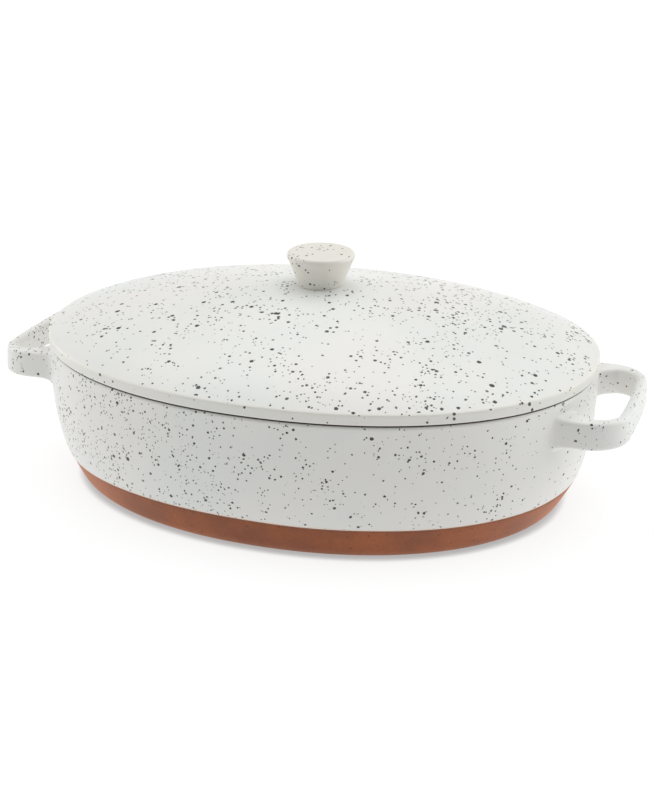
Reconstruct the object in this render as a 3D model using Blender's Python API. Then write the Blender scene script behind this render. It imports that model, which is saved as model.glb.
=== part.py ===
"""Oval covered casserole dish: a stoneware dish with two loop handles, and a lid that lifts off.

Metres, +Z up. The origin is the middle of the foot, on the table. +X runs from handle to handle.
"""

import math

import bmesh
import bpy
from mathutils import Vector

# The oval that the lid and the dish share
HALF_LENGTH = 0.165
HALF_WIDTH = 0.125
OVAL_POWER = 2.1  # 2 is an ellipse, more is squarer
OVAL_SEGMENTS = 72

# Dish
RIM_HEIGHT = 0.084
RIM_INSET = 0.0003
TUCK = 0.0171  # how far the wall draws in by the foot
TUCK_POWER = 3.0
SIDE_SHARE = 0.90  # the tuck across the dish, as a share of the tuck along it
WALL_THICKNESS = 0.007
RIM_ROUND = 0.0022
GLAZE_LINE = 0.0196
FLOOR_HEIGHT = 0.008
FLOOR_CORNER = 0.012
FOOT_CORNER = 0.0105
FOOT_WIDTH = 0.009
FOOT_RECESS = 0.002
FOOT_CHAMFER = 0.001
SLOPE_STEP = 0.0005  # height over which the wall's slope is read
WALL_ROWS = 7
BASE_ROWS = 4

# Handles
HANDLE_REACH = 0.1900  # from the middle of the dish to where a corner ends in the bar
BAR_BOW = 0.0008  # how much further out the bar's middle is
HANDLE_HALF_WIDTH = 0.0510
HANDLE_CORNER = 0.0226
HOLE_CORNER = 0.0124
BAR_THICKNESS = 0.0062
ARM_THICKNESS = 0.0100  # where an arm leaves its corner
ROOT_THICKNESS = 0.0175  # where it meets the wall
HANDLE_TOP = 0.0750
HANDLE_HEIGHT = 0.0161
HANDLE_DRAFT = 0.0008  # how much further out the outer face is at its foot than at its top
ROOT_DROP = 0.0023  # how much lower the underside is at the wall
ROOT_DROP_POWER = 3.0
HANDLE_ROUND = 0.0026
ARM_STEPS = 4
CORNER_STEPS = 6
BAR_STEPS = 4

# Lid, with heights from its underside
LID_EDGE_HEIGHT = 0.0067
LID_EDGE_ROUND = 0.0012
LID_CREASE = 0.0006
DOME_RISE = 0.0308
DOME_POWER = 1.3
DOME_FULLNESS = 0.8
DOME_SHARES = (0.985, 0.96, 0.92, 0.86, 0.78, 0.66, 0.5, 0.3)  # of the way out to the edge
UNDERSIDE_SHARES = (0.3, 0.5, 0.66, 0.78, 0.86)
LID_THICKNESS = 0.0065
LID_SEAT = 0.0155  # width of the flat band that rests on the rim
RING_INSET = 0.0095
RING_THICKNESS = 0.005
RING_DEPTH = 0.009
RING_CHAMFER = 0.001
KNOB_BASE_RADIUS = 0.0142
KNOB_RADIUS = 0.0200
KNOB_HEIGHT = 0.0212
KNOB_ROUND = 0.003
KNOB_CROWN = 0.0006
KNOB_FLARE = 1.15  # 1 is a straight cone
KNOB_STEPS = 5
KNOB_SEAT_RADIUS = 0.0152
KNOB_SEGMENTS = 48

GAP = 0.0003  # air between neighbouring pieces
ROOT_GAP = 0.0004  # the same, where a handle meets the faceted wall
ARC_STEPS = 4


def clear_scene():
    for obj in list(bpy.data.objects):
        bpy.data.objects.remove(obj, do_unlink=True)


def material(name, color, roughness):
    made = bpy.data.materials.new(name)
    made.use_nodes = True
    shader = made.node_tree.nodes["Principled BSDF"]
    shader.inputs["Base Color"].default_value = (*color, 1.0)
    shader.inputs["Roughness"].default_value = roughness
    shader.inputs["Metallic"].default_value = 0.0
    return made


def frame_empty(name, height):
    empty = bpy.data.objects.new(name, None)
    bpy.context.scene.collection.objects.link(empty)
    empty.location.z = height
    return empty


def add_object(name, mesh, parent, finish):
    obj = bpy.data.objects.new(name, mesh)
    bpy.context.scene.collection.objects.link(obj)
    obj.parent = parent
    if finish.name not in mesh.materials:
        mesh.materials.append(finish)
    return obj


def smooth_mesh(name, bm):
    bmesh.ops.recalc_face_normals(bm, faces=bm.faces)
    mesh = bpy.data.meshes.new(name)
    bm.to_mesh(mesh)
    bm.free()
    mesh.shade_smooth()
    mesh.set_sharp_from_angle(angle=math.radians(40))
    return mesh


def oval_point(angle, half_length, half_width, power=OVAL_POWER):
    c, s = math.cos(angle), math.sin(angle)
    x = half_length * math.copysign(abs(c) ** (2 / power), c)
    y = half_width * math.copysign(abs(s) ** (2 / power), s)
    return x, y


def skin(bm, first, second):
    """Quads between two rings with the same number of vertices."""
    for i in range(len(first)):
        j = (i + 1) % len(first)
        bm.faces.new((first[i], first[j], second[j], second[i]))


def oval_mesh(name, sections, closed):
    """Skin over oval sections (half length, half width, height).

    A closed list runs round a hollow ring. Any other list has its two end sections filled.
    """
    bm = bmesh.new()
    rings = []
    for half_length, half_width, height in sections:
        ring = []
        for i in range(OVAL_SEGMENTS):
            x, y = oval_point(2 * math.pi * i / OVAL_SEGMENTS, half_length, half_width)
            ring.append(bm.verts.new((x, y, height)))
        rings.append(ring)
    for first, second in zip(rings, rings[1:]):
        skin(bm, first, second)
    if closed:
        skin(bm, rings[-1], rings[0])
    else:
        bm.faces.new(rings[0])
        bm.faces.new(rings[-1])
    return smooth_mesh(name, bm)


def oval_section(height, inward=0.0, tuck=0.0):
    """The shared outline drawn in evenly, and by a tuck that is smaller across the dish."""
    return HALF_LENGTH - tuck - inward, HALF_WIDTH - SIDE_SHARE * tuck - inward, height


def wall_tuck(height):
    """How far the dish's outer face stands inside the lid's outline at a height."""
    return RIM_INSET + TUCK * (1 - height / RIM_HEIGHT) ** TUCK_POWER


def outer_section(height):
    return oval_section(height, 0.0, wall_tuck(height))


def inner_section(height):
    return oval_section(height, WALL_THICKNESS, wall_tuck(height))


def wall_tilt(height):
    """The wall's angle from upright, leaning out as it rises."""
    drop = wall_tuck(height - SLOPE_STEP) - wall_tuck(height + SLOPE_STEP)
    return math.atan(drop / (2 * SLOPE_STEP))


def corner_sections(flat_height, radius, inward):
    """A round corner that leaves the wall on the wall's own slope and ends level."""
    tilt = wall_tilt(flat_height + radius / 2)
    centre = wall_tuck(flat_height + radius * (1 - math.sin(tilt))) + radius * math.cos(tilt)
    sections = []
    for i in range(ARC_STEPS + 1):
        angle = tilt + (math.pi / 2 - tilt) * i / ARC_STEPS
        height = flat_height + radius * (1 - math.sin(angle))
        sections.append(oval_section(height, inward, centre - radius * math.cos(angle)))
    return sections


def heights_between(low, high, count):
    return [low + (high - low) * i / (count - 1) for i in range(count)]


def rim_section(angle, inward):
    top = RIM_HEIGHT - RIM_ROUND
    return oval_section(top + RIM_ROUND * math.sin(angle), inward, wall_tuck(top))


def glazed_wall_mesh():
    """The side wall from the glaze line to the rounded rim."""
    low = GLAZE_LINE + GAP / 2
    top = RIM_HEIGHT - RIM_ROUND
    heights = heights_between(low, top, WALL_ROWS)
    sections = [outer_section(height) for height in heights]
    for i in range(1, ARC_STEPS + 1):
        angle = math.pi / 2 * i / ARC_STEPS
        sections.append(rim_section(angle, RIM_ROUND * (1 - math.cos(angle))))
    for i in range(ARC_STEPS, 0, -1):
        angle = math.pi / 2 * i / ARC_STEPS
        sections.append(rim_section(angle, WALL_THICKNESS - RIM_ROUND * (1 - math.cos(angle))))
    sections += [inner_section(height) for height in reversed(heights)]
    return oval_mesh("glazed_wall", sections, closed=True)


def terracotta_base_mesh():
    """The floor, the bare lower wall and the foot ring, as one cup."""
    top = GLAZE_LINE - GAP / 2
    foot = corner_sections(0.0, FOOT_CORNER, 0.0)
    cove = corner_sections(FLOOR_HEIGHT, FLOOR_CORNER, WALL_THICKNESS)
    foot_tuck = HALF_LENGTH - foot[-1][0]
    recess_edge = FOOT_WIDTH + FOOT_CHAMFER
    sections = [
        oval_section(FOOT_RECESS, recess_edge + FOOT_RECESS, foot_tuck),
        oval_section(FOOT_CHAMFER, recess_edge, foot_tuck),
        oval_section(0.0, FOOT_WIDTH, foot_tuck),
    ]
    sections += reversed(foot)
    sections += [outer_section(height) for height in heights_between(foot[0][2], top, BASE_ROWS)[1:]]
    sections.append(inner_section(top))
    sections += cove
    return oval_mesh("terracotta_base", sections, closed=False)


def wall_face_x(y, height):
    """Where the dish's outer face lies beyond a point y across it."""
    half_length, half_width, _ = outer_section(height)
    share = 1 - abs(y / half_width) ** OVAL_POWER
    return half_length * share ** (1 / OVAL_POWER)


def handle_section():
    """A rounded rectangle, each point as share across, share up, and cosine and sine of its rounding."""
    points = []
    for across, up, start in ((0, 0, 180), (1, 0, 270), (1, 1, 0), (0, 1, 90)):
        for i in range(3):
            angle = math.radians(start + 45 * i)
            points.append((across, up, math.cos(angle), math.sin(angle)))
        if across == up:
            points.append((0.5, up, 0.0, 2.0 * up - 1.0))
    return points


def handle_point(outer, inner, nearness, corner):
    """One point of the section that spans from the outer face to the inner one."""
    across, up, cos_round, sin_round = corner
    span = inner - outer
    tall = HANDLE_HEIGHT + ROOT_DROP * nearness**ROOT_DROP_POWER
    rise = HANDLE_ROUND * (1 + sin_round) + up * (tall - 2 * HANDLE_ROUND)
    depth = HANDLE_ROUND * (1 + cos_round) + across * (span.length - 2 * HANDLE_ROUND)
    depth += (1 - across) * HANDLE_DRAFT * (rise / tall - 0.5)
    place = outer + span.normalized() * depth
    return Vector((place.x, place.y, HANDLE_TOP - tall + rise))


def handle_stations():
    """Half of the handle in plan, from the wall outwards.

    Each station is an outer point, an inner point and a nearness to the wall, from 1 down to 0.
    """
    outer_centre = Vector((HANDLE_REACH - HANDLE_CORNER, HANDLE_CORNER - HANDLE_HALF_WIDTH))
    hole_half_width = HANDLE_HALF_WIDTH - ARM_THICKNESS
    hole_reach = HANDLE_REACH - BAR_THICKNESS
    inner_centre = Vector((hole_reach - HOLE_CORNER, HOLE_CORNER - hole_half_width))
    stations = []
    for i in range(ARM_STEPS):
        share = 1 - i / ARM_STEPS
        inner_y = ARM_THICKNESS - HANDLE_HALF_WIDTH + (ROOT_THICKNESS - ARM_THICKNESS) * share
        outer = Vector((outer_centre.x, -HANDLE_HALF_WIDTH))
        stations.append((outer, Vector((inner_centre.x, inner_y)), share))
    for i in range(CORNER_STEPS + 1):
        angle = math.pi / 2 * i / CORNER_STEPS
        out = Vector((math.sin(angle), -math.cos(angle)))
        stations.append((outer_centre + HANDLE_CORNER * out, inner_centre + HOLE_CORNER * out, 0.0))
    for i in range(1, BAR_STEPS // 2 + 1):
        share = 1 - 2 * i / BAR_STEPS
        bow = BAR_BOW * (1 - share**2)
        outer = Vector((HANDLE_REACH + bow, outer_centre.y * share))
        inner = Vector((hole_reach + bow, inner_centre.y * share))
        stations.append((outer, inner, 0.0))
    return stations


def on_wall(point):
    return wall_face_x(point.y, point.z) + ROOT_GAP


def handle_mesh():
    """The +X handle: a flat-sided loop whose arms thicken towards the wall."""
    bm = bmesh.new()
    half = []
    for outer, inner, share in handle_stations():
        ring = [handle_point(outer, inner, share, corner) for corner in handle_section()]
        for point in ring:
            point.x += (on_wall(point) - point.x) * share
        half.append(ring)
    mirrored = [[Vector((p.x, -p.y, p.z)) for p in ring] for ring in reversed(half[:-1])]
    rings = [[bm.verts.new(p) for p in ring] for ring in half + mirrored]
    for first, second in zip(rings, rings[1:]):
        skin(bm, first, second)
    for ring in (rings[0], rings[-1]):
        middle = sum((v.co for v in ring), Vector()) / len(ring)
        middle.x = on_wall(middle)
        centre = bm.verts.new(middle)
        for i in range(len(ring)):
            bm.faces.new((ring[i], ring[(i + 1) % len(ring)], centre))
    return smooth_mesh("handle", bm)


def dome_height(share):
    """The lid's upper face at a share of the way from the middle to its edge."""
    return LID_EDGE_HEIGHT + DOME_RISE * (1 - share**DOME_POWER) ** DOME_FULLNESS


def dome_section(share, drop=0.0):
    return HALF_LENGTH * share, HALF_WIDTH * share, dome_height(share) - drop


def knob_seat_share():
    return KNOB_SEAT_RADIUS / HALF_WIDTH


def lid_plate_mesh():
    """The domed lid as a shell: hollow below, with a flat band that rests on the rim."""
    seat = knob_seat_share()
    sections = [dome_section(share, LID_THICKNESS) for share in (seat, *UNDERSIDE_SHARES)]
    sections.append(oval_section(0.0, LID_SEAT))
    for i in range(3):
        angle = math.pi / 4 * i
        inward = LID_EDGE_ROUND * (1 - math.sin(angle))
        sections.append(oval_section(LID_EDGE_ROUND * (1 - math.cos(angle)), inward))
    sections.append(oval_section(LID_EDGE_HEIGHT - LID_EDGE_ROUND))
    sections.append(oval_section(LID_EDGE_HEIGHT, LID_CREASE))
    sections += [dome_section(share) for share in (*DOME_SHARES, seat)]
    return oval_mesh("lid_plate", sections, closed=False)


def locating_ring_mesh():
    """The ring that hangs inside the rim, with chamfered lower edges."""
    outer, inner = RING_INSET, RING_INSET + RING_THICKNESS
    sections = [
        oval_section(-GAP, outer),
        oval_section(-RING_DEPTH + RING_CHAMFER, outer),
        oval_section(-RING_DEPTH, outer + RING_CHAMFER),
        oval_section(-RING_DEPTH, inner - RING_CHAMFER),
        oval_section(-RING_DEPTH + RING_CHAMFER, inner),
        oval_section(-GAP, inner),
    ]
    return oval_mesh("lid_locating_ring", sections, closed=True)


def knob_profile():
    """Half of the knob's section, from the middle of its base to the middle of its top."""
    bottom = dome_height(knob_seat_share()) + GAP
    shoulder = bottom + KNOB_HEIGHT - KNOB_ROUND - KNOB_CROWN
    points = [(0.0, bottom), (KNOB_BASE_RADIUS, bottom)]
    for i in range(1, KNOB_STEPS + 1):
        share = i / KNOB_STEPS
        radius = KNOB_BASE_RADIUS + (KNOB_RADIUS - KNOB_BASE_RADIUS) * share**KNOB_FLARE
        points.append((radius, bottom + (shoulder - bottom) * share))
    for i in range(1, ARC_STEPS + 1):
        angle = math.pi / 2 * i / ARC_STEPS
        radius = KNOB_RADIUS - KNOB_ROUND * (1 - math.cos(angle))
        points.append((radius, shoulder + KNOB_ROUND * math.sin(angle)))
    points.append((points[-1][0] / 2, points[-1][1] + KNOB_CROWN * 3 / 4))
    points.append((0.0, shoulder + KNOB_ROUND + KNOB_CROWN))
    return points


def knob_mesh():
    bm = bmesh.new()
    verts = [bm.verts.new((radius, 0.0, height)) for radius, height in knob_profile()]
    edges = [bm.edges.new(pair) for pair in zip(verts, verts[1:])]
    bmesh.ops.spin(
        bm,
        geom=verts + edges,
        cent=(0.0, 0.0, 0.0),
        axis=(0.0, 0.0, 1.0),
        angle=2 * math.pi,
        steps=KNOB_SEGMENTS,
        use_merge=True,
    )
    bmesh.ops.remove_doubles(bm, verts=bm.verts, dist=1e-6)
    return smooth_mesh("lid_knob", bm)


def build():
    clear_scene()
    glaze = material("speckled_glaze", (0.80, 0.79, 0.74), 0.35)
    terracotta = material("bare_terracotta", (0.29, 0.11, 0.06), 0.75)
    lid_glaze = material("lid_glaze", (0.82, 0.82, 0.77), 0.35)
    handle_glaze = material("handle_glaze", (0.77, 0.75, 0.70), 0.35)

    dish = frame_empty("dish_frame", 0.0)
    add_object("glazed_wall", glazed_wall_mesh(), dish, glaze)
    add_object("terracotta_base", terracotta_base_mesh(), dish, terracotta)
    loop = handle_mesh()
    add_object("right_handle", loop, dish, handle_glaze)
    left = add_object("left_handle", loop, dish, handle_glaze)
    left.rotation_euler.z = math.pi

    lid = frame_empty("lid_frame", RIM_HEIGHT + GAP)
    add_object("lid_plate", lid_plate_mesh(), lid, lid_glaze)
    add_object("lid_locating_ring", locating_ring_mesh(), lid, lid_glaze)
    add_object("lid_knob", knob_mesh(), lid, lid_glaze)


build()
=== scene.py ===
"""Looks of the oval covered casserole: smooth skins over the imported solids, materials, light and camera."""

import math

import bmesh
import bpy
import numpy as np
from mathutils import Matrix, Vector


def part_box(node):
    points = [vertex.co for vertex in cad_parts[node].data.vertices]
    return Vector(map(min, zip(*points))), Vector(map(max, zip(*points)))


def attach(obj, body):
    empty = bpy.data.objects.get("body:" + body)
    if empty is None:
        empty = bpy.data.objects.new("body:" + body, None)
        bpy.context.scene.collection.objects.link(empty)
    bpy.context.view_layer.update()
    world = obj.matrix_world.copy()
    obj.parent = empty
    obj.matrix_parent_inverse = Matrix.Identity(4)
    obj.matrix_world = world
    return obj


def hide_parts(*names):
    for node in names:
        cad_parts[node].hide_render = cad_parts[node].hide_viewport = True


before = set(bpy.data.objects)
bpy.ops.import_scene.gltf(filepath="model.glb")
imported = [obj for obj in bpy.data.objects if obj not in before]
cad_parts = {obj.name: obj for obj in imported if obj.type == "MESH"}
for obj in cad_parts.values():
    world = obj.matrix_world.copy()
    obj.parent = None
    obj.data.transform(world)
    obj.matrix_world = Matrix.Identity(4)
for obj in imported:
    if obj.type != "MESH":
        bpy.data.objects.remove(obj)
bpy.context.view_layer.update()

# ---------------------------------------------------------------- sizes, in metres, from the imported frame
LID_LOW, LID_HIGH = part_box("lid_plate")
WALL_LOW, WALL_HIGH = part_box("glazed_wall")
HANDLE_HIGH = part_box("right_handle")[1]
KNOB_LOW, KNOB_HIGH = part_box("lid_knob")
RING_LOW, RING_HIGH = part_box("lid_locating_ring")

HALF_LENGTH = LID_HIGH.x
HALF_WIDTH = LID_HIGH.y
RIM_HEIGHT = WALL_HIGH.z
GLAZE_LINE = WALL_LOW.z
LID_BASE = LID_LOW.z
KNOB_SEAT = KNOB_LOW.z
KNOB_TOP = KNOB_HIGH.z
KNOB_RADIUS = KNOB_HIGH.x
HANDLE_HALF_WIDTH = HANDLE_HIGH.y
HANDLE_TOP = HANDLE_HIGH.z

# The oval and the dish's profile
OVAL_POWER = 2.1
OVAL_STEPS = 288
RIM_INSET = 0.0003  # how far the rim lies inside the lid's outline
TUCK = 0.0171  # how far the wall draws in from rim to foot at the two ends
TUCK_POWER = 3.0
SIDE_SHARE = 0.90  # the share of the tuck that the long sides have
WALL_THICKNESS = 0.007
RIM_ROUND = 0.0026
SLOPE_STEP = 0.0005  # the step over which a curve's slope is measured
FLOOR_HEIGHT = 0.008
FLOOR_CORNER = 0.012
FOOT_CORNER = 0.0105
FOOT_WIDTH = 0.009
FOOT_RECESS = 0.002
FOOT_CHAMFER = 0.001
FLAT_MIDDLE = 0.06  # from this far inside its outline, a level face is one fan

# The glaze's lower edge: hand dipped, so it leans and wavers a little, and it stands proud of the clay
LINE_TILT = 0.0014
LINE_WAVES = ((3, 0.0007, 0.8), (7, 0.00014, 2.1), (13, 0.00008, 4.0))  # count, height, phase
GLAZE_STEP = 0.00035
GLAZE_LIP = 0.0005
CLAY_OVERLAP = 0.0002
INSIDE_MARK = 0.05  # stands for "well above the line" on the glazed inside
FOOT_END_TAPER = 0.0032  # how much further the foot draws in at the two ends
FOOT_SIDE_FULLNESS = 0.0014  # and how much less along the sides
SEAT_BAND = (0.0007, 0.0019)  # painted shade in the gap where rim and lid meet, in a band this far inside the outline
SEAT_BLUR = 0.0002

# Handles
HANDLE_REACH = 0.1900
BAR_BOW = 0.0008  # how far the bar's middle bulges outwards
HANDLE_CORNER = 0.0226
HOLE_CORNER = 0.0124
BAR_THICKNESS = 0.0062
ARM_THICKNESS = 0.0100
ROOT_THICKNESS = 0.0175
HANDLE_HEIGHT = 0.0161
HANDLE_DRAFT = 0.0008  # how far the outer face leans inwards from bottom to top
HANDLE_ROUNDS = (0.0024, 0.0027)  # along the underside and along the top
ROOT_DROP = 0.0012  # how much taller the arm gets at the wall
ROOT_DROP_POWER = 3.0
FILLET_REACH = 0.0048  # how far a root's fillet runs along the arm
FILLET_SPREAD = 0.0032  # and how far over the wall
ROOT_SINK = 0.0004
LEFT_DROOP = 0.028  # the left handle was luted on a little out of level
LEFT_TWIST = 0.022  # and its near arm sits a little higher than its far one
DROOP_START = 0.152  # the droop begins this far from the middle

# Lid
LID_EDGE_HEIGHT = 0.0067
LID_LOWER_ROUND = 0.0006
LID_UPPER_ROUND = 0.0010  # how far the corner's rounding runs down the side
LID_CORNER_SHARE = 0.990  # and where it ends on the dome
DOME_STRAIGHT_SHARE = 0.95  # from here outwards the dome runs straight to its corner
DOME_SAG = 0.0015  # how far the dome's outer part sags below its curve, at the corner
DOME_SAG_SHARE = 0.80  # and where that starts
EDGE_WIDTH = 0.0035  # how far in from the outline the lid's edge colour reaches
EDGE_LEAST = 0.4  # how much of it is left at the foot of the side
SEAT_BEVEL = (0.0016, 0.0002)  # the bevel under the lid's edge: how far in and how far up
DOME_RISE = 0.0308
DOME_POWER = 1.3
DOME_FULLNESS = 0.8
DOME_CROWN = 0.0009  # a slight swelling under the knob
DOME_CROWN_SHARE = 0.3
DOME_EYE = 0.02  # the fan in the middle of the dome ends here
UNDER_END = 0.84  # where the underside leaves the dome's curve for the seat
UNDER_CORNER = 0.885  # and the corner that it bends round on its way
LID_THICKNESS = 0.0065
LID_SEAT = 0.0155  # how far in the lid's level underside reaches
LID_COVE = (0.0012, 0.0008)  # the cove above it: how far in and how far up
RING_INSET = 0.0095
RING_THICKNESS = 0.005
RING_ROUND = 0.0014
RING_SINK = 0.0002  # how far the ring's top goes into the lid
KNOB_BASE_RADIUS = 0.0134
KNOB_ROUND = 0.0026
KNOB_CROWN = 0.0006
KNOB_FLARE = 1.15
KNOB_STEPS = 128
KNOB_FILLET = 0.0006
KNOB_SINK = 0.0004  # how far the knob's hidden foot goes below the dome

# Specks in the glaze: spacing of the places where one may be, largest radius, share of places used, darkness
WALL_SPECKS = (
    (0.0050, 0.00135, 0.08, 0.99),
    (0.0030, 0.00092, 0.19, 0.99),
    (0.0020, 0.00065, 0.26, 0.98),
    (0.0013, 0.00045, 0.06, 0.96),
)
HANDLE_SPECKS = (
    (0.0050, 0.00145, 0.08, 0.99),
    (0.0030, 0.00100, 0.13, 0.98),
    (0.0020, 0.00070, 0.13, 0.98),
    (0.0013, 0.00045, 0.08, 0.96),
)
LID_SPECKS = (
    (0.0060, 0.00170, 0.16, 0.99),
    (0.0038, 0.00118, 0.23, 0.99),
    (0.0026, 0.00082, 0.26, 0.98),
    (0.0017, 0.00057, 0.07, 0.96),
)
KNOB_SPECKS = (
    (0.0030, 0.00095, 0.30, 0.98),
    (0.0019, 0.00062, 0.12, 0.96),
)
FAINT_SPECKS = (0.0030, 0.00070, 0.08, 0.25)
SMALLEST_SPECK = 0.6  # as a share of the largest
PALEST_SPECK = 0.92  # as a share of the darkest
SPECK_SOFTNESS = 0.10  # the share of a speck's radius over which it fades out
FAINT_SOFTNESS = 0.7
SPECK_RAGGEDNESS = 0.0009
WALL_LEAN = (1.35, 0.65)  # relative number of specks at the -X and at the +X end
HANDLE_LEAN = (1.3, 0.7)
LID_LEAN = (0.7, 1.2)
EVEN = (1.0, 1.0)
CROWDING = (0.35, 1.65)  # relative number of specks between the clusters and in them
EDGE_SPECKS = 0.3  # the share of specks that is left on the lid's edge
GRIT = (0.0032, 0.0008, 0.4)  # dark grit in the clay: spacing, largest radius, share of places used

# Colours, linear
GLAZE_COOL = (0.80, 0.815, 0.785)
GLAZE_WARM = (0.83, 0.82, 0.79)
GLAZE_CREAM = (0.83, 0.815, 0.74)
KNOB_PALE = (0.80, 0.775, 0.71)
KNOB_WARM = (0.78, 0.75, 0.68)
SPECK_BROWN = (0.012, 0.009, 0.007)
FAINT_GREY = (0.30, 0.29, 0.26)
# painted shade: the dark brown laid in the gap where lid and rim meet
SEAT_SHADE_BROWN = (0.085, 0.062, 0.045)
LINE_PEACH = (0.80, 0.66, 0.56)
CLAY_DEEP = (0.225, 0.058, 0.0175)
CLAY_LIGHT = (0.365, 0.102, 0.031)
CLAY_GRAIN = (0.172, 0.052, 0.021)
CLAY_GRIT = (0.07, 0.028, 0.018)
CLAY_HALO = (0.62, 0.40, 0.30)
CLAY_DUST = (1.0, 0.56, 0.41)
WHITE = (1.0, 1.0, 1.0)

# Finishes: the patterns' scales are per metre
DRIFT_SCALE = 14.0  # slow drift between the glaze's two tones
CROWD_SCALE = 36.0  # clusters of specks
RAGGED_SCALE = 1100.0  # ragged outlines of specks
SATIN_SCALE = 60.0  # patches of more and less gloss
SKIN_SCALE = 420.0  # the glaze's fine unevenness
SWELL_SCALE = 45.0  # and its broad one
PATCH_SCALE = 38.0  # mottling of the clay
GRAIN_SCALE = 900.0
CLAY_SKIN_SCALE = 1100.0
GLAZE_ROUGHNESS = (0.36, 0.45)
CLAY_ROUGHNESS = (0.78, 0.88)
SKIN_SHARE = 0.12  # heights of the fine unevenness and of the specks' pits, as shares of the broad one's
SPECK_DEPTH = 0.10
SPECK_ROUGHER = 0.12
SEAT_ROUGHER = 0.4
EDGE_TINT_SHARE = 0.8
GRAIN_SHARE = 0.35
GRIT_SHARE = 0.7
THIN_BAND = (0.0004, 0.0016)  # the peach edge fades out between these heights above the line
THIN_SHARE = 0.85
HALO_BAND = (-0.0012, -0.0001)  # the pale edge of the clay fades in between these heights
HALO_SHARE = 0.45
DUST_WEIGHT = 0.7
DUST_ROUGHNESS = 0.5

# Camera, floor and light
CAMERA_AIM = Vector((-0.0011, 0.0173, 0.0416))
CAMERA_AZIMUTH = math.radians(18.12)
CAMERA_ELEVATION = math.radians(21.27)
CAMERA_ROLL = math.radians(0.55)
CAMERA_DISTANCE = 1.0713
CAMERA_LENS = 78.86
SENSOR = 36.0
VIEW_DEPTH = 100.0
FLOOR_SIZE = 40.0
FLOOR_WHITE = 0.19  # how much light the floor throws back, on top of its own glow
FLOOR_GLOW = 0.85
FLOOR_FAR_GLOW = 1.1
FLOOR_GLOW_REACH = (0.55, 1.6)  # the glow rises between these distances, as on a lit sweep
CONTACT_REACH = 0.006  # how far the dish takes the floor's own light away
CONTACT_GLOW = 0.5  # the share of it that is left right at the foot
CONTACT_RANGE = (0.2, 0.95)  # how open the air over the floor is, from 0 to 1, where that starts and ends
BACKDROP_STRENGTH = 1.0  # what the camera sees behind the floor
SKY_FRONT = 0.05  # what lights the dish, near the horizon in front of it
SKY_BACK = 0.45  # and behind it
SKY_ZENITH = 0.12  # and overhead
SKY_BAND = (0.1, 0.9)  # the sky passes from its horizon to its zenith between these heights
LIGHT_AIM = Vector((0.0, 0.0, 0.05))
SOFTBOXES = (  # name, place, size, watts
    ("overhead", (0.0, 0.15, 1.6), (2.4, 2.0), 25.0),
    ("overhead_back", (0.0, 1.0, 1.4), (1.6, 1.0), 2.0),
    ("right_side", (1.4, 0.35, 0.7), (1.0, 1.0), 5.0),
    ("right_back", (1.2, 0.9, 0.6), (1.0, 1.0), 4.0),
    ("left_front", (-1.3, -0.9, 0.7), (1.0, 1.0), 2.2),
    ("left_side", (-1.5, 0.1, 0.6), (1.0, 1.0), 7.2),
)


# ---------------------------------------------------------------- mesh helpers
def spread(low, high, count):
    """Evenly spaced values, both ends among them."""
    return [low + (high - low) * i / (count - 1) for i in range(count)]


def quarter(steps):
    """The angles of a quarter turn."""
    return [math.pi / 2 * i / steps for i in range(steps + 1)]


def ring_mesh(name, rings, wrap=False, marks=None, clay_rings=()):
    """One closed piece skinned over rings of equal length.

    wrap joins the last ring to the first; otherwise each end is filled by a fan. marks gives, by name, one
    value or a row of values for each ring. A face that starts on a ring in clay_rings takes the second
    material.
    """
    count = len(rings[0])
    points = np.concatenate(rings)
    faces = []
    slots = []

    def skin(first, second, slot):
        for i in range(count):
            j = (i + 1) % count
            faces.append((first * count + i, first * count + j, second * count + j, second * count + i))
            slots.append(slot)

    for r in range(len(rings) - 1):
        skin(r, r + 1, 1 if r in clay_rings else 0)
    values = {}
    for key, rows in (marks or {}).items():
        values[key] = np.concatenate([np.broadcast_to(row, count) for row in rows])
    if wrap:
        skin(len(rings) - 1, 0, 1 if len(rings) - 1 in clay_rings else 0)
    else:
        for r in (0, len(rings) - 1):
            centre = len(points)
            points = np.vstack([points, rings[r].mean(0)])
            for key in values:
                values[key] = np.append(values[key], values[key][r * count : (r + 1) * count].mean())
            for i in range(count):
                faces.append((r * count + i, r * count + (i + 1) % count, centre))
                slots.append(1 if min(r, len(rings) - 2) in clay_rings else 0)
    mesh = bpy.data.meshes.new(name)
    mesh.from_pydata(points.tolist(), [], faces)
    mesh.polygons.foreach_set("material_index", slots)
    bm = bmesh.new()
    bm.from_mesh(mesh)
    bmesh.ops.recalc_face_normals(bm, faces=bm.faces)
    bm.to_mesh(mesh)
    bm.free()
    for key, point_values in values.items():
        attribute = mesh.attributes.new(key, "FLOAT", "POINT")
        attribute.data.foreach_set("value", point_values.astype(np.float32))
    mesh.shade_smooth()
    return mesh


def add_piece(mesh, body, node, slot, *materials):
    """Puts a skin in the scene in place of the CAD node, on the node's body."""
    piece = bpy.data.objects.new(mesh.name, mesh)
    bpy.context.scene.collection.objects.link(piece)
    for made in materials:
        mesh.materials.append(made)
    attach(piece, body)
    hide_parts(node)


ANGLES = np.linspace(0, 2 * math.pi, OVAL_STEPS, endpoint=False)


def oval(height, inward=0.0, tuck=0.0):
    """A ring of the shared outline, drawn in evenly and by a tuck that is smaller across the dish."""
    c, s = np.cos(ANGLES), np.sin(ANGLES)
    x = (HALF_LENGTH - tuck - inward) * np.sign(c) * np.abs(c) ** (2 / OVAL_POWER)
    y = (HALF_WIDTH - SIDE_SHARE * tuck - inward) * np.sign(s) * np.abs(s) ** (2 / OVAL_POWER)
    return np.stack([x, y, np.broadcast_to(height, x.shape)], axis=1)


def wall_tuck(height):
    """How far the dish's outer face lies inside the lid's outline at its ends."""
    return RIM_INSET + TUCK * (1 - height / RIM_HEIGHT) ** TUCK_POWER


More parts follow.
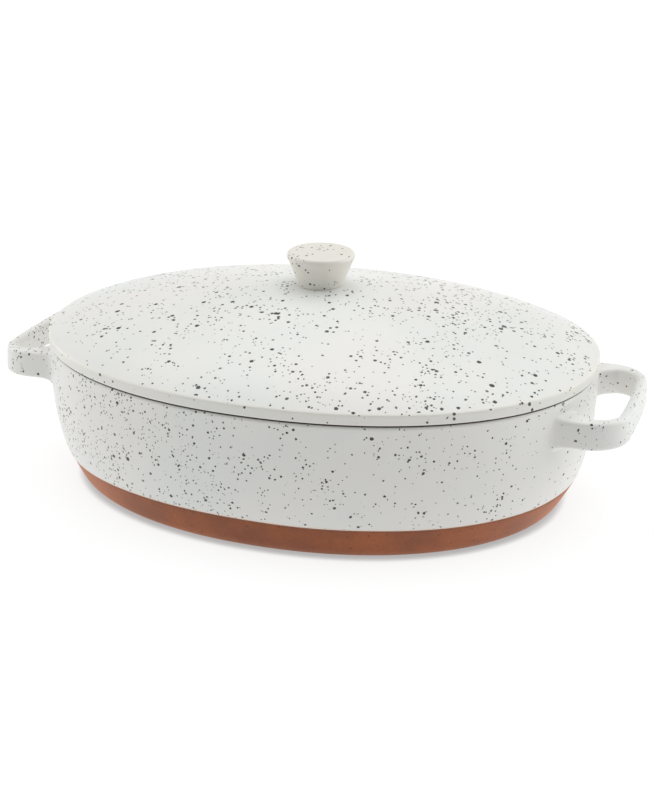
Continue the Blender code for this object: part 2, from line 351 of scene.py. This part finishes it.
def wall_tilt(height):
    """The wall's angle from upright."""
    drop = wall_tuck(height - SLOPE_STEP) - wall_tuck(height + SLOPE_STEP)
    return math.atan(drop / (2 * SLOPE_STEP))


def corner_rings(flat_height, radius, inward, steps):
    """A round corner that leaves the wall on the wall's own slope and ends level."""
    tilt = wall_tilt(flat_height + radius / 2)
    centre = wall_tuck(flat_height + radius * (1 - math.sin(tilt))) + radius * math.cos(tilt)
    rings = []
    for i in range(steps + 1):
        angle = tilt + (math.pi / 2 - tilt) * i / steps
        height = flat_height + radius * (1 - math.sin(angle))
        rings.append(oval(height, inward, centre - radius * math.cos(angle)))
    return rings


def wall_x(y, z):
    """Where the dish's outer face lies beyond a point y across it, at height z."""
    tuck = wall_tuck(z)
    share = 1 - np.abs(y / (HALF_WIDTH - SIDE_SHARE * tuck)) ** OVAL_POWER
    return (HALF_LENGTH - tuck) * share ** (1 / OVAL_POWER)


def glaze_line():
    """The height of the glaze's lower edge round the dish."""
    line = GLAZE_LINE + LINE_TILT * np.cos(ANGLES)
    for count, height, phase in LINE_WAVES:
        line = line + height * np.sin(count * ANGLES + phase)
    return line


# ---------------------------------------------------------------- dish
def seat_shade_share(inward):
    """How much painted shade a seating face gets, this far inside the outline: 0 none, 1 full."""
    near, far = SEAT_BAND
    return min(max(min(inward - near, far - inward) / SEAT_BLUR, 0.0), 1.0)


def glazed_wall():
    """The side wall, from the lip of the glaze over the rounded rim and down inside."""
    line = glaze_line()
    top = RIM_HEIGHT - RIM_ROUND
    rings = []
    above = []
    seat = []

    def add(ring, seat_shade=0.0):
        rings.append(ring)
        above.append(ring[:, 2] - line)
        seat.append(seat_shade)

    for angle in reversed(quarter(4)):
        height = line + GLAZE_LIP * (1 - math.sin(angle))
        add(oval(height, GLAZE_LIP * (1 - math.cos(angle)), wall_tuck(height)))
    for share in np.linspace(0, 1, 40)[1:]:
        height = line + GLAZE_LIP + (top - line - GLAZE_LIP) * share
        add(oval(height, 0.0, wall_tuck(height)))
    # the rim's rounds carry the mark for the painted shade in the gap under the lid
    for angle in quarter(16)[1:]:
        inward = RIM_ROUND * (1 - math.cos(angle))
        add(oval(top + RIM_ROUND * math.sin(angle), inward, wall_tuck(top)), seat_shade_share(inward))
    for angle in reversed(quarter(8)):
        inward = RIM_ROUND * (1 - math.cos(angle))
        ring = oval(top + RIM_ROUND * math.sin(angle), WALL_THICKNESS - inward, wall_tuck(top))
        add(ring, seat_shade_share(inward))
    for height in spread(top, GLAZE_LINE, 24)[1:]:
        rings.append(oval(height, WALL_THICKNESS, wall_tuck(height)))
        above.append(INSIDE_MARK)
        seat.append(0.0)
    rings.reverse()
    above.reverse()
    seat.reverse()
    return ring_mesh("glazed_wall_skin", rings, wrap=True, marks={"above_line": above, "seat": seat})


def terracotta_base():
    """The bare lower wall and foot, and the glazed floor inside, as one cup."""
    line = glaze_line()
    foot = corner_rings(0.0, FOOT_CORNER, 0.0, 12)
    cove = corner_rings(FLOOR_HEIGHT, FLOOR_CORNER, WALL_THICKNESS, 12)
    foot_tuck = HALF_LENGTH - foot[-1][0][0]
    edge = FOOT_WIDTH + FOOT_CHAMFER
    rings = [
        oval(FOOT_RECESS, FLAT_MIDDLE, foot_tuck),
        oval(FOOT_RECESS, edge + FOOT_RECESS + 0.004, foot_tuck),
        oval(FOOT_RECESS, edge + FOOT_RECESS, foot_tuck),
        oval(FOOT_RECESS * 0.8, edge + FOOT_RECESS * 0.6, foot_tuck),
        oval(FOOT_CHAMFER, edge, foot_tuck),
        oval(FOOT_CHAMFER * 0.3, edge - FOOT_CHAMFER * 0.7, foot_tuck),
        oval(0.0, FOOT_WIDTH - FOOT_CHAMFER, foot_tuck),
    ]
    rings += reversed(foot)
    foot_top = foot[0][0][2]
    for share in np.linspace(0, 1, 10)[1:]:
        height = foot_top + (line + CLAY_OVERLAP - foot_top) * share
        rings.append(oval(height, GLAZE_STEP * min(1.0, 2 * share), wall_tuck(height)))
    for ring in rings:
        low_share = np.clip(1 - ring[:, 2] / GLAZE_LINE, 0, 1)
        ring[:, 0] *= 1 - FOOT_END_TAPER / HALF_LENGTH * low_share
        ring[:, 1] *= 1 + FOOT_SIDE_FULLNESS / HALF_WIDTH * low_share
    above = [ring[:, 2] - line for ring in rings]
    clay = range(len(rings))
    inner_top = cove[0][0][2]
    for height in spread(GLAZE_LINE, inner_top, 6)[:-1]:
        rings.append(oval(height, WALL_THICKNESS, wall_tuck(height)))
    rings += cove
    floor_tuck = HALF_LENGTH - WALL_THICKNESS - cove[-1][0][0]
    rings.append(oval(FLOOR_HEIGHT, WALL_THICKNESS + 0.02, floor_tuck))
    rings.append(oval(FLOOR_HEIGHT, WALL_THICKNESS + FLAT_MIDDLE, floor_tuck))
    above += [INSIDE_MARK] * (len(rings) - len(above))
    marks = {"above_line": above, "seat": [0.0] * len(rings)}
    return ring_mesh("terracotta_base_cup", rings, marks=marks, clay_rings=clay)


# ---------------------------------------------------------------- handles
def handle_section():
    """A rounded rectangle: share across, share up, then cosine and sine of the rounding, round the loop."""
    points = []
    for across, up, start in ((0, 0, 180), (1, 0, 270), (1, 1, 0), (0, 1, 90)):
        for turn in range(0, 91, 15):
            angle = math.radians(start + turn)
            points.append((across, up, math.cos(angle), math.sin(angle)))
        if across == up:
            points.append((0.5, up, 0.0, 2.0 * up - 1.0))
        else:
            for share in (1 / 3, 2 / 3):
                points.append((across, share if across else 1 - share, 2.0 * across - 1.0, 0.0))
    return points


def section_ring(outer, inner, share=0.0):
    """The section's points between an outer and an inner point in plan. share is the nearness to the wall."""
    span = inner - outer
    along = span.normalized()
    tall = HANDLE_HEIGHT + ROOT_DROP * share**ROOT_DROP_POWER
    ring = []
    for across, up, cos_round, sin_round in handle_section():
        low, high = HANDLE_ROUNDS
        bend_radius = low + (high - low) * up
        rise = bend_radius * (1 + sin_round) + up * (tall - 2 * bend_radius)
        depth = bend_radius * (1 + cos_round) + across * (span.length - 2 * bend_radius)
        depth += (1 - across) * HANDLE_DRAFT * (rise / tall - 0.5)
        place = outer + along * depth
        ring.append((place.x, place.y, HANDLE_TOP - tall + rise))
    return np.array(ring)


def root_ends(share):
    """Outer and inner points of an arm, before it is slid to the wall. share is 1 at the wall."""
    outer_y = -HANDLE_HALF_WIDTH
    inner_y = outer_y + ARM_THICKNESS + (ROOT_THICKNESS - ARM_THICKNESS) * share
    outer_x = HANDLE_REACH - HANDLE_CORNER
    inner_x = HANDLE_REACH - BAR_THICKNESS - HOLE_CORNER
    return Vector((outer_x, outer_y)), Vector((inner_x, inner_y))


def arm_ring(share):
    """A section of the near arm, slid towards the wall by its share."""
    ring = section_ring(*root_ends(share), share)
    ring[:, 0] += (wall_x(ring[:, 1], ring[:, 2]) - ring[:, 0]) * share
    return ring


def root_rings():
    """The fillet that carries an arm's surface over on to the wall, from inside the wall outwards."""
    hit = arm_ring(1.0)
    length = hit[:, 0] - arm_ring(0.0)[:, 0]
    share = 1 - FILLET_REACH / np.abs(length).mean()
    start = arm_ring(share)
    sides = np.array([(c, s) for _, _, c, s in handle_section()])
    spread_y = hit[:, 1] + FILLET_SPREAD * sides[:, 0]
    spread_z = hit[:, 2] + FILLET_SPREAD * sides[:, 1]
    end = np.stack([wall_x(spread_y, spread_z), spread_y, spread_z], axis=1)
    rings = []
    sunk = end.copy()
    sunk[:, 0] -= ROOT_SINK
    rings.append(sunk)
    for t in np.linspace(1, 0, 13)[:-1]:
        ring = (1 - t) ** 2 * start + 2 * t * (1 - t) * hit + t**2 * end
        ring[:, 0] -= ROOT_SINK / 4 * t**4
        rings.append(ring)
    return rings, share


def handle(name, side, droop=0.0, twist=0.0):
    """A loop handle at the +X end, or turned half way round for the -X end.

    droop is its slope outwards, twist its slope from arm to arm.
    """
    rings, first = root_rings()
    for share in np.linspace(first, 0, 9)[:-1]:
        rings.append(arm_ring(share))
    outer_centre = Vector((HANDLE_REACH - HANDLE_CORNER, HANDLE_CORNER - HANDLE_HALF_WIDTH))
    hole_reach = HANDLE_REACH - BAR_THICKNESS
    inner_centre = Vector((hole_reach - HOLE_CORNER, HOLE_CORNER - HANDLE_HALF_WIDTH + ARM_THICKNESS))
    for angle in quarter(24):
        out = Vector((math.sin(angle), -math.cos(angle)))
        rings.append(section_ring(outer_centre + HANDLE_CORNER * out, inner_centre + HOLE_CORNER * out))
    for share in np.linspace(1, 0, 10)[1:]:
        bow = BAR_BOW * (1 - share**2)
        outer = Vector((HANDLE_REACH + bow, outer_centre.y * share))
        rings.append(section_ring(outer, Vector((hole_reach + bow, inner_centre.y * share))))
    mirror = np.array([1.0, -1.0, 1.0])
    rings += [ring * mirror for ring in reversed(rings[:-1])]
    for ring in rings:
        ring[:, 2] += twist * ring[:, 1] - droop * np.maximum(ring[:, 0] - DROOP_START, 0.0)
    turn = np.array([side, side, 1.0])
    return ring_mesh(name, [ring * turn for ring in rings])


# ---------------------------------------------------------------- lid
def dome_curve(share):
    """The dome's smooth rise above the lid's base: share is 0 in the middle and 1 at the outline."""
    crown = DOME_CROWN * np.exp(-((share / DOME_CROWN_SHARE) ** 2))
    return LID_EDGE_HEIGHT + DOME_RISE * (1 - share**DOME_POWER) ** DOME_FULLNESS + crown


def dome_height(share):
    """The lid's upper face above its base: a curve that ends in a straight slope towards the corner."""
    last = DOME_STRAIGHT_SHARE
    slope = (dome_curve(last) - dome_curve(last - SLOPE_STEP)) / SLOPE_STEP
    curve = dome_curve(np.minimum(share, last))
    outer = np.maximum(share - DOME_SAG_SHARE, 0.0) / (1 - DOME_SAG_SHARE)
    return curve + slope * (np.maximum(share, last) - last) - DOME_SAG * outer**2


def dome_ring(share, drop=0.0):
    """The outline shrunk to a share of its size and laid on the dome, or below it."""
    ring = oval(LID_BASE + dome_height(share) - drop)
    ring[:, :2] *= share
    return ring


def dome_at(x, y):
    """Height of the lid's upper face over a point."""
    share = (np.abs(x / HALF_LENGTH) ** OVAL_POWER + np.abs(y / HALF_WIDTH) ** OVAL_POWER) ** (1 / OVAL_POWER)
    return LID_BASE + dome_height(share)


def bend(start, corner, end, steps):
    """Rings along a quadratic curve from start to end, without start."""
    rings = []
    for t in np.linspace(0, 1, steps + 1)[1:]:
        rings.append((1 - t) ** 2 * start + 2 * t * (1 - t) * corner + t**2 * end)
    return rings


def edge_mark(ring):
    """1 at the lid's corner, less down its upright side, and 0 further in."""
    inward = HALF_LENGTH - ring[0, 0]
    height = (ring[0, 2] - LID_BASE) / LID_EDGE_HEIGHT
    near = min(max((EDGE_WIDTH - inward) / EDGE_WIDTH, 0.0), 1.0)
    return near * min(EDGE_LEAST + (1 - EDGE_LEAST) * height**2, 1.0)


def lid_plate():
    """The domed lid as a shell, with a soft upper edge and a band that rests on the rim, bevelled outside."""
    under_shares = np.concatenate([np.linspace(DOME_EYE, 0.8, 24), [UNDER_END]])
    rings = [dome_ring(share, LID_THICKNESS) for share in under_shares]
    bevel_in, bevel_up = SEAT_BEVEL
    seat_end = oval(LID_BASE, LID_SEAT)
    cove_in, cove_up = LID_COVE
    cove = oval(LID_BASE, LID_SEAT + cove_in)
    rings += bend(rings[-1], dome_ring(UNDER_CORNER, LID_THICKNESS), cove + [0, 0, cove_up], 8)
    rings += bend(rings[-1], cove, seat_end, 4)
    rings.append(oval(LID_BASE, bevel_in + LID_LOWER_ROUND))
    low_edge = oval(LID_BASE + bevel_up, 0.0)
    side_start = oval(LID_BASE + bevel_up + LID_LOWER_ROUND, 0.0)
    rings.append(oval(LID_BASE, bevel_in))
    rings += bend(oval(LID_BASE + bevel_up * 0.8, bevel_in * 0.2), low_edge, side_start, 6)
    corner = dome_ring(1.0)
    side_top = corner[0][2] - LID_UPPER_ROUND
    for height in spread(rings[-1][0][2], side_top, 5)[1:]:
        rings.append(oval(height, 0.0))
    rings += bend(rings[-1], corner, dome_ring(LID_CORNER_SHARE), 12)
    outer_shares = np.linspace(LID_CORNER_SHARE, 0.9, 12)[1:]
    inner_shares = np.linspace(0.9, DOME_EYE, 60)[1:]
    for share in np.concatenate([outer_shares, inner_shares]):
        rings.append(dome_ring(share))
    below = LID_BASE + bevel_up / 2
    # the lid's underside carries the mark for the painted shade in the gap over the rim
    seat = [seat_shade_share(HALF_LENGTH - ring[0, 0]) * (ring[0, 2] < below) for ring in rings]
    edge = [edge_mark(ring) for ring in rings]
    return ring_mesh("lid_dome", rings, marks={"seat": seat, "edge": edge})


def locating_ring():
    """The ring under the lid, rounded below."""
    outer, inner = RING_INSET, RING_INSET + RING_THICKNESS
    top = LID_BASE + RING_SINK
    rings = [oval(top, outer)]
    for height in spread(RING_HIGH.z, RING_LOW.z + RING_ROUND, 4):
        rings.append(oval(height, outer))
    for angle in quarter(8)[1:]:
        height = RING_LOW.z + RING_ROUND * (1 - math.sin(angle))
        rings.append(oval(height, outer + RING_ROUND * (1 - math.cos(angle))))
    for angle in reversed(quarter(8)):
        height = RING_LOW.z + RING_ROUND * (1 - math.sin(angle))
        rings.append(oval(height, inner - RING_ROUND * (1 - math.cos(angle))))
    for height in spread(RING_LOW.z + RING_ROUND, RING_HIGH.z, 4)[1:]:
        rings.append(oval(height, inner))
    rings.append(oval(top, inner))
    return ring_mesh("lid_ring_under", rings, wrap=True)


def circle(radius, height):
    angles = np.linspace(0, 2 * math.pi, KNOB_STEPS, endpoint=False)
    x, y = radius * np.cos(angles), radius * np.sin(angles)
    return np.stack([x, y, np.broadcast_to(height, x.shape)], axis=1)


def on_dome(radius):
    """A circle laid on the lid's upper face."""
    ring = circle(radius, 0.0)
    ring[:, 2] = dome_at(ring[:, 0], ring[:, 1])
    return ring


def lid_knob():
    """The flared knob, whose foot follows the dome through a small fillet."""
    shoulder = KNOB_TOP - KNOB_ROUND - KNOB_CROWN
    hit = on_dome(KNOB_BASE_RADIUS)
    start = circle(KNOB_BASE_RADIUS + 0.0002, KNOB_SEAT + KNOB_FILLET)
    end = on_dome(KNOB_BASE_RADIUS + KNOB_FILLET)
    sunk = end - [0, 0, KNOB_SINK]
    rings = [circle(KNOB_BASE_RADIUS * 0.5, KNOB_SEAT - 2 * KNOB_SINK), sunk]
    rings += bend(end - [0, 0, KNOB_SINK / 10], hit, start, 8)
    for share in np.linspace(0, 1, 18)[1:]:
        radius = KNOB_BASE_RADIUS + (KNOB_RADIUS - KNOB_BASE_RADIUS) * share**KNOB_FLARE
        height = KNOB_SEAT + KNOB_FILLET + (shoulder - KNOB_SEAT - KNOB_FILLET) * share
        rings.append(circle(radius, height))
    for angle in quarter(12)[1:]:
        radius = KNOB_RADIUS - KNOB_ROUND * (1 - math.cos(angle))
        rings.append(circle(radius, shoulder + KNOB_ROUND * math.sin(angle)))
    for share in np.linspace(1, 0.04, 10)[1:]:
        height = KNOB_TOP - KNOB_CROWN * share**2
        rings.append(circle((KNOB_RADIUS - KNOB_ROUND) * share, height))
    return ring_mesh("knob_turned", rings)


# ---------------------------------------------------------------- materials
class Nodes:
    """Shorthand for a material's node tree."""

    def __init__(self, name):
        self.material = bpy.data.materials.new(name)
        self.material.use_nodes = True
        self.tree = self.material.node_tree
        self.shader = self.tree.nodes["Principled BSDF"]

    def put(self, socket, value):
        if isinstance(value, bpy.types.NodeSocket):
            self.tree.links.new(value, socket)
        else:
            socket.default_value = value

    def add(self, kind, output=0, **inputs):
        made = self.tree.nodes.new(kind)
        for key, value in inputs.items():
            self.put(made.inputs[key], value)
        return made.outputs[output]

    def math(self, operation, *values):
        made = self.tree.nodes.new("ShaderNodeMath")
        made.operation = operation
        for socket, value in zip(made.inputs, values):
            self.put(socket, value)
        return made.outputs[0]

    def vector(self, operation, *values, output=0):
        made = self.tree.nodes.new("ShaderNodeVectorMath")
        made.operation = operation
        for socket, value in zip(made.inputs, values):
            self.put(socket, value)
        return made.outputs[output]

    def mix(self, factor, first, second):
        """A mix of two colours."""
        made = self.tree.nodes.new("ShaderNodeMix")
        made.data_type = "RGBA"
        self.put(made.inputs[0], factor)
        self.put(made.inputs[6], first)
        self.put(made.inputs[7], second)
        return made.outputs[2]

    def ramp(self, value, low, high, to_low=0.0, to_high=1.0):
        """A smooth step from to_low to to_high as value goes from low to high."""
        made = self.tree.nodes.new("ShaderNodeMapRange")
        made.interpolation_type = "SMOOTHSTEP"
        for socket, item in zip(made.inputs, (value, low, high, to_low, to_high)):
            self.put(socket, item)
        return made.outputs[0]

    def noise(self, coords, scale, detail=2.0, roughness=0.5):
        pattern = {"Scale": scale, "Detail": detail, "Roughness": roughness}
        return self.add("ShaderNodeTexNoise", Vector=coords, **pattern)

    def place(self, offset=(0.0, 0.0, 0.0)):
        """Object coordinates, in metres, moved by an offset so that each use has its own pattern."""
        return self.vector("ADD", self.add("ShaderNodeTexCoord", "Object"), offset)

    def attribute(self, name):
        """A value that the mesh carries at its points."""
        made = self.tree.nodes.new("ShaderNodeAttribute")
        made.attribute_name = name
        return made.outputs["Fac"]

    def paint_over(self, mask, color):
        """Lays one more colour over the shader's own, where mask is 1."""
        base = self.shader.inputs["Base Color"]
        self.put(base, self.mix(mask, base.links[0].from_socket, color))


def rgb(color):
    return (*color, 1.0)


def speck_layer(nodes, coords, spacing, radius, keep, soft=SPECK_SOFTNESS):
    """A mask of spots: balls round scattered points, cut by the surface.

    spacing is the points' mean distance, radius the largest spot's, keep the share of points that have one
    and soft the share of the radius over which a spot fades out. The second output is a random tone per spot.
    """
    voronoi = nodes.tree.nodes.new("ShaderNodeTexVoronoi")
    nodes.put(voronoi.inputs["Vector"], coords)
    voronoi.inputs["Scale"].default_value = 1 / spacing
    chance = nodes.tree.nodes.new("ShaderNodeSeparateColor")
    nodes.put(chance.inputs[0], voronoi.outputs["Color"])
    largest = radius / spacing
    smallest = largest * SMALLEST_SPECK
    size = nodes.math("MULTIPLY_ADD", chance.outputs[0], largest * (1 - SMALLEST_SPECK), smallest)
    inner = nodes.math("MULTIPLY", size, 1 - soft)
    mask = nodes.ramp(voronoi.outputs["Distance"], inner, size, 1.0, 0.0)
    present = nodes.math("LESS_THAN", chance.outputs[1], keep)
    return nodes.math("MULTIPLY", mask, present), chance.outputs[2]


def glaze(name, base, warm, specks, lean=EVEN, offset=(0.0, 0.0, 0.0), edge_tint=None):
    """Satin off-white glaze with soft tone drift, iron specks of several sizes and faint grey ones below.

    specks lists spacing, radius, share and darkness. lean gives their relative number at the -X and +X ends.
    edge_tint is the colour where the glaze thins over an edge, which the mesh marks. There are fewer specks
    there.
    """
    nodes = Nodes(name)
    coords = nodes.place(offset)
    ripple = nodes.add("ShaderNodeTexNoise", "Color", Vector=coords, Scale=RAGGED_SCALE, Detail=2.0)
    place = nodes.vector("MULTIPLY_ADD", ripple, (SPECK_RAGGEDNESS,) * 3, coords)

    drift = nodes.ramp(nodes.noise(coords, DRIFT_SCALE, 3.0), 0.35, 0.65)
    color = nodes.mix(drift, rgb(base), rgb(warm))
    crowd = nodes.ramp(nodes.noise(coords, CROWD_SCALE, 1.0), 0.36, 0.64, *CROWDING)
    split = nodes.add("ShaderNodeSeparateXYZ", 0, Vector=nodes.place())
    crowd = nodes.math("MULTIPLY", crowd, nodes.ramp(split, -HALF_LENGTH, HALF_LENGTH, *lean))
    if edge_tint:
        edge = nodes.attribute("edge")
        color = nodes.mix(nodes.math("MULTIPLY", edge, EDGE_TINT_SHARE), color, rgb(edge_tint))
        crowd = nodes.math("MULTIPLY", crowd, nodes.ramp(edge, 0.1, 0.4, 1.0, EDGE_SPECKS))

    spacing, radius, share, depth = FAINT_SPECKS
    keep = nodes.math("MULTIPLY", crowd, share)
    grey, _ = speck_layer(nodes, place, spacing, radius, keep, FAINT_SOFTNESS)
    color = nodes.mix(nodes.math("MULTIPLY", grey, depth), color, rgb(FAINT_GREY))
    dark = 0.0
    for spacing, radius, share, depth in specks:
        keep = nodes.math("MULTIPLY", crowd, share)
        mask, tone = speck_layer(nodes, place, spacing, radius, keep)
        strength = nodes.ramp(tone, 0.0, 1.0, depth, depth * PALEST_SPECK)
        dark = nodes.math("MAXIMUM", dark, nodes.math("MULTIPLY", mask, strength))
    color = nodes.mix(dark, color, rgb(SPECK_BROWN))

    shader = nodes.shader
    nodes.put(shader.inputs["Base Color"], color)
    satin = nodes.ramp(nodes.noise(coords, SATIN_SCALE, 2.0), 0.3, 0.7, *GLAZE_ROUGHNESS)
    nodes.put(shader.inputs["Roughness"], nodes.math("MULTIPLY_ADD", dark, SPECK_ROUGHER, satin))
    shader.inputs["IOR"].default_value = 1.5
    shader.inputs["Coat Weight"].default_value = 0.12
    shader.inputs["Coat Roughness"].default_value = 0.22

    skin = nodes.noise(coords, SKIN_SCALE, 2.0)
    swell = nodes.noise(coords, SWELL_SCALE, 1.0)
    height = nodes.math("MULTIPLY_ADD", skin, SKIN_SHARE, swell)
    height = nodes.math("MULTIPLY_ADD", dark, -SPECK_DEPTH, height)
    bump = nodes.add("ShaderNodeBump", 0, Strength=0.6, Distance=0.0003, Height=height)
    nodes.put(shader.inputs["Normal"], bump)
    return nodes


def paint_seat_shade(nodes):
    """Painted shade in the line where lid and rim meet: a dark brown colour, and a rougher finish."""
    seat_shade = nodes.attribute("seat")
    nodes.paint_over(seat_shade, rgb(SEAT_SHADE_BROWN))
    rough = nodes.shader.inputs["Roughness"]
    nodes.put(rough, nodes.math("MULTIPLY_ADD", seat_shade, SEAT_ROUGHER, rough.links[0].from_socket))


def thin_line(nodes):
    """Pale peach edge where the glaze thins out just above the clay."""
    thin = nodes.ramp(nodes.attribute("above_line"), *THIN_BAND, THIN_SHARE, 0.0)
    nodes.paint_over(thin, rgb(LINE_PEACH))


def terracotta():
    """Bare red-brown clay: mottled, grainy, a little dusty, with dark grit, and paler next to the glaze."""
    nodes = Nodes("bare_terracotta")
    coords = nodes.place((0.3, 0.7, 0.1))
    patches = nodes.ramp(nodes.noise(coords, PATCH_SCALE, 4.0, 0.6), 0.32, 0.68)
    color = nodes.mix(patches, rgb(CLAY_DEEP), rgb(CLAY_LIGHT))
    grain = nodes.ramp(nodes.noise(coords, GRAIN_SCALE, 2.0), 0.3, 0.7, 0.0, GRAIN_SHARE)
    color = nodes.mix(grain, color, rgb(CLAY_GRAIN))
    grit, _ = speck_layer(nodes, coords, *GRIT)
    color = nodes.mix(nodes.math("MULTIPLY", grit, GRIT_SHARE), color, rgb(CLAY_GRIT))
    halo = nodes.ramp(nodes.attribute("above_line"), *HALO_BAND, 0.0, HALO_SHARE)
    color = nodes.mix(halo, color, rgb(CLAY_HALO))
    nodes.put(nodes.shader.inputs["Base Color"], color)
    nodes.put(nodes.shader.inputs["Roughness"], nodes.ramp(patches, 0.0, 1.0, *CLAY_ROUGHNESS))
    nodes.shader.inputs["Sheen Weight"].default_value = DUST_WEIGHT
    nodes.shader.inputs["Sheen Roughness"].default_value = DUST_ROUGHNESS
    nodes.shader.inputs["Sheen Tint"].default_value = rgb(CLAY_DUST)
    height = nodes.noise(coords, CLAY_SKIN_SCALE, 3.0, 0.6)
    bump = nodes.add("ShaderNodeBump", 0, Strength=0.5, Distance=0.0002, Height=height)
    nodes.put(nodes.shader.inputs["Normal"], bump)
    return nodes.material


# ---------------------------------------------------------------- light, floor, camera
def set_floor():
    """A white floor that gives off light of its own, less of it where the dish stands close."""
    mesh = bpy.data.meshes.new("floor")
    half = FLOOR_SIZE / 2
    corners = [(-half, -half, 0), (half, -half, 0), (half, half, 0), (-half, half, 0)]
    mesh.from_pydata(corners, [], [(0, 1, 2, 3)])
    floor = bpy.data.objects.new("floor", mesh)
    bpy.context.scene.collection.objects.link(floor)
    nodes = Nodes("floor_white")
    nodes.shader.inputs["Base Color"].default_value = rgb([FLOOR_WHITE] * 3)
    nodes.shader.inputs["Roughness"].default_value = 0.9
    nodes.shader.inputs["Specular IOR Level"].default_value = 0.0
    nodes.shader.inputs["Emission Color"].default_value = rgb(WHITE)
    away = nodes.vector("LENGTH", nodes.place(), output="Value")
    glow = nodes.ramp(away, *FLOOR_GLOW_REACH, FLOOR_GLOW, FLOOR_FAR_GLOW)
    air = nodes.tree.nodes.new("ShaderNodeAmbientOcclusion")
    air.samples = 8
    air.inputs["Distance"].default_value = CONTACT_REACH
    clear = nodes.ramp(air.outputs["AO"], *CONTACT_RANGE, CONTACT_GLOW, 1.0)
    nodes.put(nodes.shader.inputs["Emission Strength"], nodes.math("MULTIPLY", glow, clear))
    mesh.materials.append(nodes.material)


def set_world():
    """A white tent: brightest low down at the back, dimmest in front. The camera sees plain white."""
    world = bpy.data.worlds.new("tent")
    world.use_nodes = True
    tree = world.node_tree
    coords = tree.nodes.new("ShaderNodeTexCoord")
    split = tree.nodes.new("ShaderNodeSeparateXYZ")
    tree.links.new(coords.outputs["Generated"], split.inputs[0])
    horizon = tree.nodes.new("ShaderNodeMapRange")
    tree.links.new(split.outputs["Y"], horizon.inputs["Value"])
    horizon.inputs["From Min"].default_value = -1.0
    horizon.inputs["To Min"].default_value = SKY_FRONT
    horizon.inputs["To Max"].default_value = SKY_BACK
    height = tree.nodes.new("ShaderNodeMapRange")
    height.interpolation_type = "SMOOTHSTEP"
    tree.links.new(split.outputs["Z"], height.inputs["Value"])
    tree.links.new(horizon.outputs[0], height.inputs["To Min"])
    height.inputs["From Min"].default_value, height.inputs["From Max"].default_value = SKY_BAND
    height.inputs["To Max"].default_value = SKY_ZENITH
    background = tree.nodes["Background"]
    background.inputs["Color"].default_value = rgb(WHITE)
    seen = tree.nodes.new("ShaderNodeLightPath")
    choose = tree.nodes.new("ShaderNodeMapRange")
    tree.links.new(seen.outputs["Is Camera Ray"], choose.inputs["Value"])
    tree.links.new(height.outputs[0], choose.inputs["To Min"])
    choose.inputs["To Max"].default_value = BACKDROP_STRENGTH
    tree.links.new(choose.outputs[0], background.inputs["Strength"])
    bpy.context.scene.world = world


def set_light(name, place, size, power):
    """A rectangular softbox that faces the dish."""
    data = bpy.data.lights.new(name, "AREA")
    data.shape = "RECTANGLE"
    data.size, data.size_y = size
    data.energy = power
    light = bpy.data.objects.new(name, data)
    light.location = place
    light.rotation_euler = (LIGHT_AIM - Vector(place)).to_track_quat("-Z", "Y").to_euler()
    bpy.context.scene.collection.objects.link(light)


def set_camera():
    """The camera circles the aim point at its azimuth and elevation; azimuth 0 looks along +Y."""
    sin_a, cos_a = math.sin(CAMERA_AZIMUTH), math.cos(CAMERA_AZIMUTH)
    sin_e, cos_e = math.sin(CAMERA_ELEVATION), math.cos(CAMERA_ELEVATION)
    back = Vector((sin_a * cos_e, -cos_a * cos_e, sin_e))
    level = Vector((cos_a, sin_a, 0.0))
    right = math.cos(CAMERA_ROLL) * level + math.sin(CAMERA_ROLL) * back.cross(level)
    up = back.cross(right)
    place = CAMERA_AIM + back * CAMERA_DISTANCE
    data = bpy.data.cameras.new("camera")
    data.sensor_width = SENSOR
    data.lens = CAMERA_LENS
    data.clip_end = VIEW_DEPTH
    camera = bpy.data.objects.new("camera", data)
    rotation = Matrix((right, up, back)).transposed()
    camera.matrix_world = Matrix.Translation(place) @ rotation.to_4x4()
    bpy.context.scene.collection.objects.link(camera)
    bpy.context.scene.camera = camera


# ---------------------------------------------------------------- the object
def build():
    wall_glaze = glaze("wall_glaze", GLAZE_COOL, GLAZE_WARM, WALL_SPECKS, WALL_LEAN)
    thin_line(wall_glaze)
    paint_seat_shade(wall_glaze)
    handle_glaze = glaze("handle_glaze", GLAZE_COOL, GLAZE_WARM, HANDLE_SPECKS, HANDLE_LEAN)
    lid_offset = (0.4, 0.2, 0.6)
    lid_glaze = glaze("lid_glaze", GLAZE_COOL, GLAZE_WARM, LID_SPECKS, LID_LEAN, lid_offset, GLAZE_CREAM)
    paint_seat_shade(lid_glaze)
    knob_glaze = glaze("knob_glaze", KNOB_PALE, KNOB_WARM, KNOB_SPECKS, offset=(0.9, 0.3, 0.2))
    clay = terracotta()

    right = handle("right_handle_loop", 1.0)
    left = handle("left_handle_loop", -1.0, LEFT_DROOP, LEFT_TWIST)
    add_piece(glazed_wall(), "dish", "glazed_wall", "wall_glaze", wall_glaze.material)
    add_piece(terracotta_base(), "dish", "terracotta_base", "terracotta", wall_glaze.material, clay)
    add_piece(right, "dish", "right_handle", "handle_glaze", handle_glaze.material)
    add_piece(left, "dish", "left_handle", "handle_glaze", handle_glaze.material)
    add_piece(lid_plate(), "lid", "lid_plate", "lid_glaze", lid_glaze.material)
    add_piece(locating_ring(), "lid", "lid_locating_ring", "lid_glaze", lid_glaze.material)
    add_piece(lid_knob(), "lid", "lid_knob", "knob_glaze", knob_glaze.material)

    set_floor()
    set_world()
    for softbox in SOFTBOXES:
        set_light(*softbox)
    set_camera()


bpy.context.scene.view_settings.view_transform = "Standard"
build()
